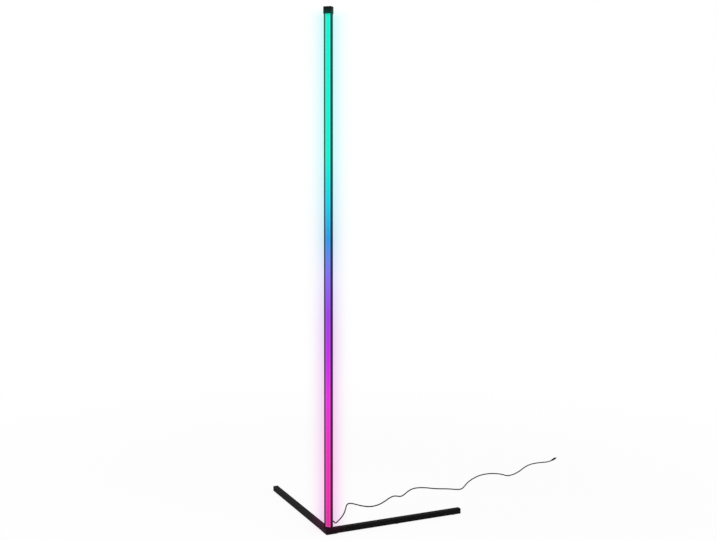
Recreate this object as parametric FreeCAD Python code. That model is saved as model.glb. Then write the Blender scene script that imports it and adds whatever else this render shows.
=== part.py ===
import FreeCAD, Part
import math
import os

# Corner floor lamp: a slim black extruded pole with one strip of coloured light down its front,
# standing on a low V-shaped base of two square tubes that run along the two walls of a room's corner.
# Frame: millimetres, +Z up, origin on the floor under the pole's axis, the light faces -Y, and the
# base's arms run back from its outer corner at 45 degrees to either side of +Y.

Vector = FreeCAD.Vector

# ---- Base ---------------------------------------------------------------------------------------
ARM_TUBE = 15.0            # outside width and height of the square steel tube
ARM_WALL = 1.2
ARM_EDGE_RADIUS = 1.2
ARM_LENGTH = 418.0         # along an arm's outer side, from the mitred corner to the plug's end face
CORNER_SETBACK = 16.0      # from the base's outer corner back to the pole's axis
END_PLUG_FLANGE = 5.0      # what shows of the plastic plug at the end of an arm
END_PLUG_DEPTH = 18.0      # how far the plug reaches into the tube
END_PLUG_CORE = 8.6
END_PLUG_FIN = 1.2
END_PLUG_FIN_COUNT = 3
BLOCK_LEG = 78.0           # leg of the corner block, from the base's outer corner
BLOCK_WEB = 4.3            # metal left over the pole screws' heads
PAD_THICKNESS = 1.0
PAD_INSET = 1.0            # bare rim between a pad and the tube's edge
CORNER_PAD_LEG = 34.0
ARM_PAD_RADIUS = 6.0
ARM_PAD_END_GAP = 11.0     # bare tube between the last round pad and the end plug

# ---- Pole ---------------------------------------------------------------------------------------
LAMP_HEIGHT = 1400.0
POLE_WIDTH = 20.0
POLE_WALL = 1.5
POLE_EDGE_RADIUS = 0.8
LARGEST_EDGE = 0.8         # largest share of a wall that an edge radius may take
LIGHT_RECESS = 5.0         # from the pole's front edges back to the diffuser's face
LIGHT_CHAMBER = 3.0        # free depth behind the diffuser's plate
SHELF = 1.2                # web that carries the light strip
REAR_CHAMBER = 2.8         # flat channel behind the shelf
GROOVE_DEPTH = 0.45        # snap groove for the diffuser in each side wall
GROOVE_WIDTH = 1.1
GROOVE_SETBACK = 1.0       # plain wall between the groove and the shelf
EXIT_HEIGHT = 22.5         # cord's axis above the floor where it leaves the pole's back
CAP_HEIGHT = 18.5
CAP_WALL = 1.0
CAP_TOP = 2.0
CAP_EDGE_RADIUS = 0.8
CAP_TONGUE_WIDTH = 12.0
CAP_TONGUE_LENGTH = 12.0

# ---- Foot and splice ----------------------------------------------------------------------------
FOOT_PLATE = 2.5
FOOT_PRONG_LENGTH = 55.0
FOOT_SCREW_RISE = 36.0     # foot screws above the foot plate
SPLICE_LENGTH = 130.0
SPLICE_SCREW_PLACES = (18.0, 48.0)   # either side of the seam between the two pole lengths

# ---- Light --------------------------------------------------------------------------------------
DIFFUSER_PLATE = 1.5
DIFFUSER_CROWN = 0.5
DIFFUSER_LEG = 1.0
STRIP_WIDTH = 10.0
STRIP_THICKNESS = 0.3
STRIP_BOTTOM_GAP = 2.5     # from the pole's lower end to the strip
STRIP_TOP_GAP = 5.0        # from the strip to the pole's upper end
CHIP_SIZE = 5.0
CHIP_HEIGHT = 1.6
CHIPS_PER_METRE = 60
BOARD_WIDTH = 14.0
BOARD_LENGTH = 60.0
BOARD_THICKNESS = 1.0
BOARD_GAP = 8.0            # between the foot's prongs and the board
BOARD_PART_HEIGHT = 1.1
CONTROL_CHIP = 5.0
CONTROL_CHIP_GAP = 5.2     # between the controller chip and the column of small parts
SMALL_PART_WIDTH = 1.6
SMALL_PART_LENGTH = 3.2
SMALL_PART_PITCH = 4.8
SMALL_PART_COUNT = 4
SMALL_PART_SIDE = 2.4      # the column's middle line, left of the board's
SMALL_PART_TOP_GAP = 5.2   # between the column and the board's upper end
INNER_LEAD_RADIUS = 0.5
INNER_LEAD_SIDES = 6
INNER_LEAD_PITCH = 1.2
INNER_LEAD_OVERLAP = 5.0   # length of each inner lead that lies on the board
STRIP_LEAD_RADIUS = 0.3
STRIP_LEAD_PITCH = 1.6
STRIP_LEAD_COUNT = 3
STRIP_LEAD_TOP_GAP = 18.0  # from the middle strip lead to the board's upper end
STRIP_LEAD_OVERLAP = 0.8   # length of each strip lead that lies on the strip

# ---- Screws -------------------------------------------------------------------------------------
M4_RADIUS = 2.0
M4_PAN_RADIUS = 3.5
M4_PAN_HEIGHT = 2.6
ARM_SCREW_LENGTH = 10.0
ARM_SCREW_PLACES = (46.0, 66.0)      # along each arm from the outer corner
M3_RADIUS = 1.5
M3_SUNK_RADIUS = 2.7
POLE_SCREW_SPREAD = 6.0    # each pole screw's distance from the lamp's middle plane
SOCKET_DEPTH = 1.4
SOCKET_WIDTH = 1.25        # hexagon's width across flats for each millimetre of the screw's radius

# ---- Cord ---------------------------------------------------------------------------------------
CORD_DIAMETER = 3.5
CORD_SIDES = 6
RELIEF_NECK_RADIUS = 3.0
RELIEF_FLANGE_RADIUS = 4.0
RELIEF_FLANGE = 1.5
RELIEF_LIP_RADIUS = 3.6
RELIEF_LIP = 0.8
RELIEF_NOSE_LENGTH = 17.0
RELIEF_TIP_WALL = 0.35     # rubber round the cord in the nose's grooves
RELIEF_GROOVE = 1.4
RELIEF_RINGS = 4
PLUG_BODY_RADIUS = 3.1
PLUG_BODY_LENGTH = 18.0
PLUG_TAIL_LENGTH = 12.0
PLUG_TAIL_WALL = 0.3       # plastic round the cord where it enters the plug
BARREL_RADIUS = 1.75
BARREL_LENGTH = 9.5
BARREL_WALL = 0.3
CONTACT_RADIUS = 0.95
CONTACT_BORE = 0.675

# ---- Clearances ---------------------------------------------------------------------------------
SLIDE_CLEARANCE = 0.1      # round pieces that slide into the tubes and the rear chamber
THREAD_CLEARANCE = 0.05    # between a screw and its thread
HOLE_CLEARANCE = 0.2       # round a screw that passes through
SNAP_CLEARANCE = 0.15      # between the diffuser and the pole's walls
CAP_CLEARANCE = 0.2        # between the cap and the pole
END_CLEARANCE = 0.3        # at the ends of the light parts
PRONG_CLEARANCE = 0.6      # between the foot's prongs and the strain relief's lip
HEAD_CLEARANCE = 0.4       # round a pole screw's head in the corner block
ACCESS_STEP = 0.2          # how much wider the way to that head is in the tube, and again in the pad
PLUG_CLEARANCE = 0.02
OVERCUT = 1.0              # how far a cutting shape runs past the faces that it goes through

# ---- Levels and planes that follow --------------------------------------------------------------
TUBE_TOP = PAD_THICKNESS + ARM_TUBE
TUBE_ROOF = TUBE_TOP - ARM_WALL
POLE_BOTTOM = TUBE_TOP + FOOT_PLATE
POLE_TOP = LAMP_HEIGHT - CAP_TOP
SEAM = (POLE_BOTTOM + POLE_TOP) / 2
HALF_WIDTH = POLE_WIDTH / 2
HALF_INSIDE = HALF_WIDTH - POLE_WALL
POLE_DEPTH = LIGHT_RECESS + DIFFUSER_PLATE + LIGHT_CHAMBER + SHELF + REAR_CHAMBER + POLE_WALL
FRONT = -POLE_DEPTH / 2
BACK = POLE_DEPTH / 2
BACK_INSIDE = BACK - POLE_WALL
SHELF_BACK = BACK_INSIDE - REAR_CHAMBER
SHELF_FRONT = SHELF_BACK - SHELF
DIFFUSER_FACE = FRONT + LIGHT_RECESS
DIFFUSER_BACK = DIFFUSER_FACE + DIFFUSER_PLATE
GROOVE_BACK = SHELF_FRONT - GROOVE_SETBACK
GROOVE_FRONT = GROOVE_BACK - GROOVE_WIDTH
INSERT_FRONT = SHELF_BACK + SLIDE_CLEARANCE
INSERT_BACK = BACK_INSIDE - SLIDE_CLEARANCE
HALF_INSERT = HALF_INSIDE - SLIDE_CLEARANCE
PRONG_INSIDE = RELIEF_LIP_RADIUS + PRONG_CLEARANCE
BOARD_BOTTOM = POLE_BOTTOM + FOOT_PRONG_LENGTH + BOARD_GAP
BOARD_TOP = BOARD_BOTTOM + BOARD_LENGTH
BOARD_FACE = BACK_INSIDE - BOARD_THICKNESS
STRIP_LEAD_LEVEL = BOARD_TOP - STRIP_LEAD_TOP_GAP
STRIP_LEAD_SIDE = BOARD_WIDTH / 2 - 2 * STRIP_LEAD_RADIUS
ARM_MIDDLE = ARM_TUBE / 2
LAST_ARM_PAD = ARM_LENGTH - END_PLUG_FLANGE - ARM_PAD_END_GAP - ARM_PAD_RADIUS
MIDDLE_ARM_PAD = (CORNER_PAD_LEG + LAST_ARM_PAD) / 2
# the line down the middle of an arm passes through this Y where X is POLE_SCREW_SPREAD
POLE_SCREW_Y = POLE_SCREW_SPREAD + ARM_MIDDLE * math.sqrt(2) - CORNER_SETBACK

# Cord route, chosen by hand: out of the pole's back, down to the floor between the arms, then
# along the floor behind the right arm in loose bends to the plug.
FLOOR_LEVEL = 1.8
PLUG_LEVEL = 3.2
CORD_ROUTE = (
    (0, 26, EXIT_HEIGHT), (0, 45, EXIT_HEIGHT), (-2, 68, 12.5), (-6, 96, FLOOR_LEVEL),
    (-12, 132, FLOOR_LEVEL), (-19, 170, FLOOR_LEVEL), (-29, 206, FLOOR_LEVEL),
    (-38, 237, FLOOR_LEVEL), (-31, 257, FLOOR_LEVEL), (-13, 257, FLOOR_LEVEL),
    (7, 240, FLOOR_LEVEL), (35, 241, FLOOR_LEVEL), (52, 268, FLOOR_LEVEL),
    (58, 306, FLOOR_LEVEL), (61, 342, FLOOR_LEVEL), (68, 364, FLOOR_LEVEL),
    (87, 364, FLOOR_LEVEL), (93, 392, FLOOR_LEVEL), (94, 425, FLOOR_LEVEL),
    (102, 457, FLOOR_LEVEL), (130, 473, FLOOR_LEVEL), (166, 472, FLOOR_LEVEL),
    (201, 486, FLOOR_LEVEL), (237, 493, FLOOR_LEVEL), (244, 526, FLOOR_LEVEL),
    (243, 574, FLOOR_LEVEL), (250, 620, FLOOR_LEVEL), (262, 662, FLOOR_LEVEL),
    (290, 693, FLOOR_LEVEL), (324, 697, FLOOR_LEVEL), (347, 682, FLOOR_LEVEL),
    (362, 706, FLOOR_LEVEL), (373, 746, FLOOR_LEVEL), (379, 795, FLOOR_LEVEL),
    (391, 842, FLOOR_LEVEL), (419, 874, FLOOR_LEVEL), (446, 885, PLUG_LEVEL),
    (452, 909, PLUG_LEVEL),
)


def box(x0, x1, y0, y1, z0, z1):
    return Part.makeBox(x1 - x0, y1 - y0, z1 - z0, Vector(x0, y0, z0))


def rod(radius, start, axis, length):
    return Part.makeCylinder(radius, length, Vector(*start), Vector(*axis))


def cone(radius0, radius1, start, axis, length):
    return Part.makeCone(radius0, radius1, length, Vector(*start), Vector(*axis))


def extruded(points, z0, z1):
    """A prism on a closed outline of XY points."""
    corners = [Vector(x, y, z0) for x, y in points]
    face = Part.Face(Part.makePolygon(corners + corners[:1]))
    return face.extrude(Vector(0, 0, z1 - z0))


def edges_along(shape, direction, at_least):
    """The straight edges of a shape that run along a direction and are longer than a length."""
    chosen = []
    for edge in shape.Edges:
        if edge.Curve.TypeId != "Part::GeomLine" or edge.Length < at_least:
            continue
        if abs(abs(edge.Curve.Direction.dot(Vector(*direction))) - 1) < 1e-6:
            chosen.append(edge)
    return chosen


def on_right_arm(shape):
    """Moves a shape from the arm's own frame (X along the arm's outer side, Y inwards) to its place."""
    placed = shape.copy()
    placed.rotate(Vector(0, 0, 0), Vector(0, 0, 1), 45)
    placed.translate(Vector(0, -CORNER_SETBACK, 0))
    return placed


def mirrored(shape):
    return shape.mirror(Vector(0, 0, 0), Vector(1, 0, 0))


def right_half(shape):
    """What lies on the right of the lamp's middle plane, where the two arms are mitred."""
    reach = 2 * ARM_LENGTH
    return shape.common(box(0, reach, -reach, reach, -reach, reach))


def write(name, shape):
    shape.exportStep("parts/" + name + ".step")


# ---- Screws -------------------------------------------------------------------------------------

def socket(across_flats, depth):
    """A hexagon recess in a screw's head, opening at Z 0 and reaching up."""
    radius = across_flats / math.sqrt(3)
    outline = [(radius * math.cos(math.radians(60 * i)), radius * math.sin(math.radians(60 * i)))
               for i in range(6)]
    return extruded(outline, 0, depth)


def sunk_screw(radius, head_radius, length):
    """A countersunk screw whose flat head lies in Z 0 and whose tip points up."""
    head_height = head_radius - radius
    screw = cone(head_radius, radius, (0, 0, 0), (0, 0, 1), head_height)
    screw = screw.fuse(rod(radius, (0, 0, head_height), (0, 0, 1), length - head_height))
    return screw.cut(socket(radius * SOCKET_WIDTH, min(SOCKET_DEPTH, head_height))).removeSplitter()


def sunk_hole(radius, head_radius, length):
    """The countersunk hole for such a screw, with its clearance."""
    wide = head_radius + THREAD_CLEARANCE
    narrow = radius + THREAD_CLEARANCE
    hole = cone(wide, narrow, (0, 0, 0), (0, 0, 1), wide - narrow)
    return hole.fuse(rod(narrow, (0, 0, 0), (0, 0, 1), length + THREAD_CLEARANCE))


def pan_screw(radius, head_radius, head_height, length):
    """A pan head screw whose head sits under Z 0 and whose shank points up."""
    head = rod(head_radius, (0, 0, -head_height), (0, 0, 1), head_height)
    screw = head.fuse(rod(radius, (0, 0, 0), (0, 0, 1), length))
    recess = socket(radius * SOCKET_WIDTH, SOCKET_DEPTH)
    recess.translate(Vector(0, 0, -head_height))
    return screw.cut(recess).removeSplitter()


def through_back(shape, x, z):
    """Turns a screw or hole that points up so that it points forward from the pole's back face."""
    placed = shape.copy()
    placed.rotate(Vector(0, 0, 0), Vector(1, 0, 0), 90)
    placed.translate(Vector(x, BACK, z))
    return placed


def under_right_arm(shape, place):
    """Puts a screw or hole that points up under the middle of the right arm."""
    placed = shape.copy()
    placed.translate(Vector(place, ARM_MIDDLE, PAD_THICKNESS))
    return on_right_arm(placed)


def pole_screw_hole(radius, z0, z1):
    """An upright round cutter on the right pole screw's axis."""
    return rod(radius, (POLE_SCREW_SPREAD, POLE_SCREW_Y, z0), (0, 0, 1), z1 - z0)


# ---- Base ---------------------------------------------------------------------------------------

def base_arm_right():
    """Square tube, mitred at the corner, with holes for the screws of the corner block and pole."""
    length = ARM_LENGTH - END_PLUG_FLANGE
    floor = PAD_THICKNESS + ARM_WALL
    tube = box(0, length, 0, ARM_TUBE, PAD_THICKNESS, TUBE_TOP)
    tube = tube.makeFillet(ARM_EDGE_RADIUS, edges_along(tube, (1, 0, 0), length / 2))
    bore = box(-ARM_TUBE, length + ARM_TUBE, ARM_WALL, ARM_TUBE - ARM_WALL, floor, TUBE_ROOF)
    tube = right_half(on_right_arm(tube.cut(bore)))
    for place in ARM_SCREW_PLACES:
        hole = sunk_hole(M3_RADIUS, M3_SUNK_RADIUS, ARM_WALL + OVERCUT)
        tube = tube.cut(under_right_arm(hole, place))
    tube = tube.cut(pole_screw_hole(M4_PAN_RADIUS + HEAD_CLEARANCE + ACCESS_STEP, 0, floor + OVERCUT))
    return tube.cut(pole_screw_hole(M4_RADIUS + HOLE_CLEARANCE, TUBE_ROOF - OVERCUT, TUBE_TOP + OVERCUT))


def corner_block():
    """Die-cast L that joins the two tubes from inside and takes the pole screws' heads."""
    side = ARM_TUBE - 2 * (ARM_WALL + SLIDE_CLEARANCE)
    low = ARM_WALL + SLIDE_CLEARANCE
    leg = box(low, BLOCK_LEG, low, low + side, TUBE_ROOF - side, TUBE_ROOF)
    leg = right_half(on_right_arm(leg))
    for place in ARM_SCREW_PLACES:
        leg = leg.cut(under_right_arm(sunk_hole(M3_RADIUS, M3_SUNK_RADIUS, ARM_SCREW_LENGTH), place))
    seat = TUBE_ROOF - BLOCK_WEB
    leg = leg.cut(pole_screw_hole(M4_PAN_RADIUS + HEAD_CLEARANCE, 0, seat))
    leg = leg.cut(pole_screw_hole(M4_RADIUS + HOLE_CLEARANCE, seat - OVERCUT, TUBE_ROOF + OVERCUT))
    return leg.fuse(mirrored(leg)).removeSplitter()


def arm_screws():
    right = [under_right_arm(sunk_screw(M3_RADIUS, M3_SUNK_RADIUS, ARM_SCREW_LENGTH), place)
             for place in ARM_SCREW_PLACES]
    return Part.makeCompound(right + [mirrored(screw) for screw in right])


def end_plug_right():
    """Plastic plug: a square flange flush with the tube, and a core with fins that grip inside it."""
    face = ARM_LENGTH - END_PLUG_FLANGE
    flange = box(face, ARM_LENGTH, 0, ARM_TUBE, PAD_THICKNESS, TUBE_TOP)
    flange = flange.makeFillet(ARM_EDGE_RADIUS, edges_along(flange, (1, 0, 0), END_PLUG_FLANGE / 2))
    level = PAD_THICKNESS + ARM_MIDDLE
    half = END_PLUG_CORE / 2
    plug = flange.fuse(box(face - END_PLUG_DEPTH, face, ARM_MIDDLE - half, ARM_MIDDLE + half,
                           level - half, level + half))
    grip = ARM_MIDDLE - ARM_WALL - SLIDE_CLEARANCE
    pitch = (END_PLUG_DEPTH - END_PLUG_FIN) / END_PLUG_FIN_COUNT
    for i in range(END_PLUG_FIN_COUNT):
        start = face - pitch * (i + 1)
        plug = plug.fuse(box(start, start + END_PLUG_FIN, ARM_MIDDLE - grip, ARM_MIDDLE + grip,
                             level - grip, level + grip))
    return on_right_arm(plug.removeSplitter())


def corner_pad():
    """Die-cut rubber chevron under the corner, with two windows for the pole screws."""
    leg = box(PAD_INSET, CORNER_PAD_LEG, PAD_INSET, ARM_TUBE - PAD_INSET, 0, PAD_THICKNESS)
    leg = right_half(on_right_arm(leg))
    window = pole_screw_hole(M4_PAN_RADIUS + HEAD_CLEARANCE + 2 * ACCESS_STEP, -OVERCUT,
                             PAD_THICKNESS + OVERCUT)
    leg = leg.cut(window)
    return leg.fuse(mirrored(leg)).removeSplitter()


def arm_pads():
    """Round rubber pads, one near each end plug and one midway to the corner pad."""
    right = [on_right_arm(rod(ARM_PAD_RADIUS, (place, ARM_MIDDLE, 0), (0, 0, 1), PAD_THICKNESS))
             for place in (MIDDLE_ARM_PAD, LAST_ARM_PAD)]
    return Part.makeCompound(right + [mirrored(pad) for pad in right])


# ---- Pole ---------------------------------------------------------------------------------------

def pole_length(z0, z1):
    """The extrusion: two side walls, the shelf for the light strip and the flat rear chamber."""
    half = [
        (HALF_WIDTH, BACK), (HALF_WIDTH, FRONT), (HALF_INSIDE, FRONT),
        (HALF_INSIDE, GROOVE_FRONT), (HALF_INSIDE + GROOVE_DEPTH, GROOVE_FRONT),
        (HALF_INSIDE + GROOVE_DEPTH, GROOVE_BACK), (HALF_INSIDE, GROOVE_BACK),
        (HALF_INSIDE, SHELF_FRONT),
    ]
    outline = half + [(-x, y) for x, y in reversed(half)]
    body = extruded(outline, z0, z1)
    between = HALF_WIDTH - POLE_WALL / 2
    outer = [edge for edge in edges_along(body, (0, 0, 1), (z1 - z0) / 2)
             if abs(edge.BoundBox.Center.x) > between]
    body = body.makeFillet(min(POLE_EDGE_RADIUS, POLE_WALL * LARGEST_EDGE), outer)
    return body.cut(box(-HALF_INSIDE, HALF_INSIDE, SHELF_BACK, BACK_INSIDE, z0, z1))


def foot_screw_places():
    x = (PRONG_INSIDE + HALF_INSERT) / 2
    return [(x, POLE_BOTTOM + FOOT_SCREW_RISE), (-x, POLE_BOTTOM + FOOT_SCREW_RISE)]


def splice_screw_places():
    return [(0, SEAM + side * place) for side in (-1, 1) for place in SPLICE_SCREW_PLACES]


def back_hole():
    return sunk_hole(M3_RADIUS, M3_SUNK_RADIUS, BACK - INSERT_FRONT)


def pole_lower():
    """Lower length, with the cord's exit, the foot and splice screws and the strip leads' window."""
    pole = pole_length(POLE_BOTTOM, SEAM)
    pole = pole.cut(rod(RELIEF_NECK_RADIUS + THREAD_CLEARANCE, (0, BACK_INSIDE - OVERCUT, EXIT_HEIGHT),
                        (0, 1, 0), POLE_WALL + 2 * OVERCUT))
    for x, z in foot_screw_places() + splice_screw_places()[:len(SPLICE_SCREW_PLACES)]:
        pole = pole.cut(through_back(back_hole(), x, z))
    reach = STRIP_LEAD_COUNT * STRIP_LEAD_PITCH / 2 + HOLE_CLEARANCE
    window = box(STRIP_LEAD_SIDE - 2 * STRIP_LEAD_RADIUS, STRIP_LEAD_SIDE + 2 * STRIP_LEAD_RADIUS,
                 SHELF_FRONT - OVERCUT, SHELF_BACK + OVERCUT,
                 STRIP_LEAD_LEVEL - reach, STRIP_LEAD_LEVEL + reach)
    return pole.cut(window)


def pole_upper():
    pole = pole_length(SEAM, POLE_TOP)
    for x, z in splice_screw_places()[len(SPLICE_SCREW_PLACES):]:
        pole = pole.cut(through_back(back_hole(), x, z))
    return pole


def splice_bar():
    """Flat steel bar in the rear chamber that lines up and joins the two pole lengths."""
    bar = box(-HALF_INSERT, HALF_INSERT, INSERT_FRONT, INSERT_BACK,
              SEAM - SPLICE_LENGTH / 2, SEAM + SPLICE_LENGTH / 2)
    for x, z in splice_screw_places():
        bar = bar.cut(through_back(back_hole(), x, z))
    return bar


def back_screws(places):
    screw = sunk_screw(M3_RADIUS, M3_SUNK_RADIUS, BACK - INSERT_FRONT)
    return Part.makeCompound([through_back(screw, x, z) for x, z in places])


def foot_bracket():
    """Steel plate under the pole with two prongs welded on that stand in the rear chamber."""
    plate = box(-HALF_WIDTH, HALF_WIDTH, FRONT, BACK, TUBE_TOP, POLE_BOTTOM)
    plate = plate.makeFillet(POLE_EDGE_RADIUS, edges_along(plate, (0, 0, 1), FOOT_PLATE / 2))
    prong = box(PRONG_INSIDE, HALF_INSERT, INSERT_FRONT, INSERT_BACK,
                POLE_BOTTOM, POLE_BOTTOM + FOOT_PRONG_LENGTH)
    bracket = plate.fuse(prong).fuse(mirrored(prong))
    thread = pole_screw_hole(M4_RADIUS + THREAD_CLEARANCE, TUBE_TOP - OVERCUT, POLE_BOTTOM + OVERCUT)
    bracket = bracket.cut(thread).cut(mirrored(thread))
    for x, z in foot_screw_places():
        bracket = bracket.cut(through_back(back_hole(), x, z))
    return bracket.removeSplitter()


def pole_screws():
    """Two pan head screws up through the corner block and the tubes' roof into the foot plate."""
    screw = pan_screw(M4_RADIUS, M4_PAN_RADIUS, M4_PAN_HEIGHT, BLOCK_WEB + ARM_WALL + FOOT_PLATE)
    screw.translate(Vector(POLE_SCREW_SPREAD, POLE_SCREW_Y, TUBE_ROOF - BLOCK_WEB))
    return Part.makeCompound([screw, mirrored(screw)])


def top_cap():
    """Slip-over plastic cap with a tongue that plugs into the rear chamber."""
    gap = CAP_CLEARANCE + CAP_WALL
    cap = box(-HALF_WIDTH - gap, HALF_WIDTH + gap, FRONT - gap, BACK + gap,
              LAMP_HEIGHT - CAP_HEIGHT, LAMP_HEIGHT)
    cap = cap.makeFillet(gap, edges_along(cap, (0, 0, 1), CAP_HEIGHT / 2))
    rim = [edge for edge in cap.Edges if edge.BoundBox.ZMin > POLE_TOP]
    cap = cap.makeFillet(min(CAP_EDGE_RADIUS, CAP_TOP * LARGEST_EDGE), rim)
    inside = CAP_CLEARANCE
    cap = cap.cut(box(-HALF_WIDTH - inside, HALF_WIDTH + inside, FRONT - inside, BACK + inside,
                      LAMP_HEIGHT - CAP_HEIGHT - OVERCUT, POLE_TOP))
    tongue = box(-CAP_TONGUE_WIDTH / 2, CAP_TONGUE_WIDTH / 2, INSERT_FRONT, INSERT_BACK,
                 POLE_TOP - CAP_TONGUE_LENGTH, POLE_TOP)
    return cap.fuse(tongue).removeSplitter()


# ---- Light --------------------------------------------------------------------------------------

def diffuser():
    """Opal cover with a crowned face and two legs whose beads snap into the pole's grooves."""
    half = HALF_INSIDE - SNAP_CLEARANCE
    leg_end = GROOVE_BACK + (SHELF_FRONT - GROOVE_BACK) / 2
    bead_front = GROOVE_FRONT + SNAP_CLEARANCE
    bead_back = GROOVE_BACK - SNAP_CLEARANCE
    z0 = POLE_BOTTOM + END_CLEARANCE
    z1 = POLE_TOP - END_CLEARANCE
    edge_y = DIFFUSER_FACE + DIFFUSER_CROWN
    right = [
        (half, edge_y), (half, bead_front), (half + GROOVE_DEPTH - SNAP_CLEARANCE, bead_front),
        (half + GROOVE_DEPTH - SNAP_CLEARANCE, bead_back - GROOVE_DEPTH / 2), (half, bead_back),
        (half, leg_end), (half - DIFFUSER_LEG, leg_end), (half - DIFFUSER_LEG, DIFFUSER_BACK),
    ]
    around = [Vector(x, y, z0) for x, y in right + [(-x, y) for x, y in reversed(right)]]
    sides = Part.makePolygon(around).Edges
    crown = Part.Arc(around[-1], Vector(0, DIFFUSER_FACE, z0), around[0]).toShape()
    face = Part.Face(Part.Wire(sides + [crown]))
    return face.extrude(Vector(0, 0, z1 - z0))


def strip_ends():
    return POLE_BOTTOM + STRIP_BOTTOM_GAP, POLE_TOP - STRIP_TOP_GAP


def led_strip():
    """Flexible circuit strip stuck to the shelf."""
    z0, z1 = strip_ends()
    return box(-STRIP_WIDTH / 2, STRIP_WIDTH / 2, SHELF_FRONT - STRIP_THICKNESS, SHELF_FRONT, z0, z1)


def led_chips():
    """Square colour chips along the whole strip at an even pitch."""
    z0, z1 = strip_ends()
    pitch = 1000.0 / CHIPS_PER_METRE
    count = int((z1 - z0 - CHIP_SIZE) / pitch) + 1
    first = (z0 + z1) / 2 - pitch * (count - 1) / 2
    base = SHELF_FRONT - STRIP_THICKNESS
    half = CHIP_SIZE / 2
    return Part.makeCompound([
        box(-half, half, base - CHIP_HEIGHT, base, first + pitch * i - half, first + pitch * i + half)
        for i in range(count)])


def control_board():
    """Colour controller's circuit board, on the rear chamber's back wall above the foot."""
    return box(-BOARD_WIDTH / 2, BOARD_WIDTH / 2, BOARD_FACE, BACK_INSIDE, BOARD_BOTTOM, BOARD_TOP)


def board_parts():
    """The controller chip and, above it, a column of small parts on the board's front."""
    low = BOARD_TOP - SMALL_PART_TOP_GAP - SMALL_PART_LENGTH - SMALL_PART_PITCH * (SMALL_PART_COUNT - 1)
    chip_top = low - CONTROL_CHIP_GAP
    parts = [box(-CONTROL_CHIP / 2, CONTROL_CHIP / 2, BOARD_FACE - BOARD_PART_HEIGHT, BOARD_FACE,
                 chip_top - CONTROL_CHIP, chip_top)]
    left = -SMALL_PART_SIDE - SMALL_PART_WIDTH / 2
    for i in range(SMALL_PART_COUNT):
        z0 = low + SMALL_PART_PITCH * i
        parts.append(box(left, left + SMALL_PART_WIDTH, BOARD_FACE - BOARD_PART_HEIGHT / 2, BOARD_FACE,
                         z0, z0 + SMALL_PART_LENGTH))
    return Part.makeCompound(parts)


def strip_leads():
    """Three flat wires from the board through the shelf's window to the edge of the light strip."""
    thickness = 2 * STRIP_LEAD_RADIUS
    side = STRIP_LEAD_SIDE + STRIP_LEAD_RADIUS
    front_y = SHELF_FRONT - STRIP_THICKNESS - thickness - SLIDE_CLEARANCE
    end_x = STRIP_WIDTH / 2 - STRIP_LEAD_OVERLAP
    outline = [(side, BOARD_FACE), (side, front_y), (end_x, front_y), (end_x, front_y + thickness),
               (side - thickness, front_y + thickness), (side - thickness, BOARD_FACE)]
    leads = []
    for i in range(STRIP_LEAD_COUNT):
        middle = STRIP_LEAD_LEVEL + (i - (STRIP_LEAD_COUNT - 1) / 2) * STRIP_LEAD_PITCH
        leads.append(extruded(outline, middle - STRIP_LEAD_RADIUS, middle + STRIP_LEAD_RADIUS))
    return Part.makeCompound(leads)


def inner_leads():
    """The cord's two cores, from the strain relief up to the board's lower end."""
    board_y = BOARD_FACE - INNER_LEAD_RADIUS
    foot_y = SHELF_BACK + SLIDE_CLEARANCE + INNER_LEAD_RADIUS
    start_y = BACK_INSIDE - RELIEF_LIP
    top = BOARD_BOTTOM + INNER_LEAD_OVERLAP
    leads = []
    for x in (-INNER_LEAD_PITCH / 2, INNER_LEAD_PITCH / 2):
        route = [Vector(x, start_y, EXIT_HEIGHT), Vector(x, foot_y, EXIT_HEIGHT), Vector(x, board_y, top)]
        edges, _ = rounded_edges(route)
        section = round_section(route[0], route[1] - route[0], INNER_LEAD_RADIUS, INNER_LEAD_SIDES)
        leads.append(Part.Wire(edges).makePipeShell([section], True, False))
    return Part.makeCompound(leads)


# ---- Cord ---------------------------------------------------------------------------------------

def rounded_edges(points):
    """Straight runs joined by tangent arcs, each as large as its two runs allow."""
    edges = []
    radii = []
    start = points[0]
    for before, corner, after in zip(points, points[1:], points[2:]):
        toward = (corner - before).normalize()
        away = (after - corner).normalize()
        half_turn = toward.getAngle(away) / 2
        cut_back = 0.45 * min((corner - before).Length, (after - corner).Length)
        radius = cut_back / math.tan(half_turn)
        first = corner - toward * cut_back
        last = corner + away * cut_back
        inward = (away - toward).normalize()
        middle = corner + inward * (radius / math.cos(half_turn) - radius)
        edges.append(Part.LineSegment(start, first).toShape())
        edges.append(Part.Arc(first, middle, last).toShape())
        radii.append(radius)
        start = last
    edges.append(Part.LineSegment(start, points[-1]).toShape())
    return edges, radii


def route_points():
    return [Vector(*point) for point in CORD_ROUTE]


def round_section(centre, axis, radius, sides):
    """A round section as an even polygon, square to an axis."""
    flat = axis.cross(Vector(0, 0, 1)).normalize()
    up = flat.cross(axis).normalize()
    corners = []
    for i in range(sides):
        turn = math.radians(360.0 * (i + 0.5) / sides)
        corners.append(centre + (flat * math.sin(turn) + up * math.cos(turn)) * radius)
    return Part.makePolygon(corners + corners[:1])


def power_cord():
    points = route_points()
    edges, radii = rounded_edges(points)
    section = round_section(points[0], points[1] - points[0], CORD_DIAMETER / 2, CORD_SIDES)
    cord = Part.Wire(edges).makePipeShell([section], True, False)
    length = sum(edge.Length for edge in edges)
    volume = Part.Face(section).Area * length
    print("cord length %.1f mm, volume %.1f mm3 against %.1f" % (length, cord.Volume, volume))
    print("cord bend radii:", " ".join("%.1f" % radius for radius in radii))
    return cord


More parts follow.
